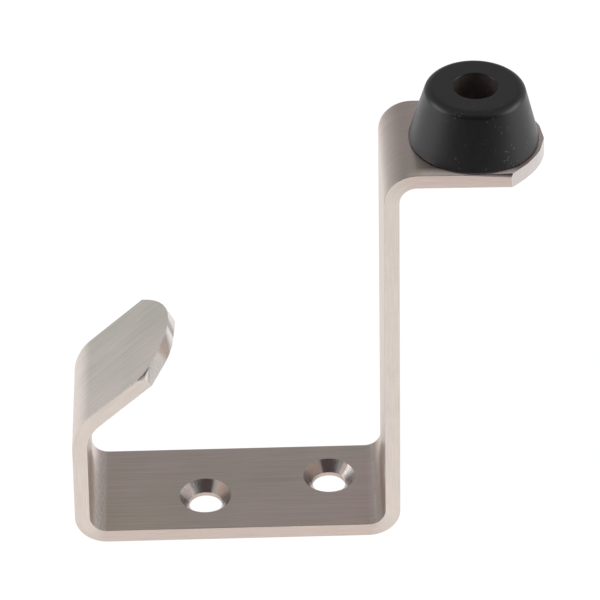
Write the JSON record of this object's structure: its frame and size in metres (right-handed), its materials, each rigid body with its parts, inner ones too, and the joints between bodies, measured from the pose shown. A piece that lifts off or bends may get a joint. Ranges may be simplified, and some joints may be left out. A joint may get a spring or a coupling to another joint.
{
  "type": "buffered door hook",
  "caption": "Bent flat-bar hat and coat hook for a door, with a screw plate, a short splayed hook, and a tall flanged arm that carries a rubber buffer.",
  "frame": {"origin": "middle of the screw plate's flat back face", "axes": "+Z out of the door, off the screw plate towards the buffer; +X along the plate from the short hook to the tall arm; Y across the strip"},
  "size_m": [0.0933, 0.025, 0.1013],
  "materials": {
    "strip_steel": "fine linear brushing along the strip, ground ends and narrow sides left matt and paler",
    "buffer_rubber": "moulded black rubber, satin, lightly dusty",
    "fixing_steel": "bright stainless fasteners"
  },
  "bodies": {
    "root": {"hook_bracket": "strip_steel", "rubber_buffer": "buffer_rubber", "seat_washer": "fixing_steel", "fixing_screw": "fixing_steel", "lock_washer": "fixing_steel", "hex_nut": "fixing_steel"}
  },
  "joints": []
}
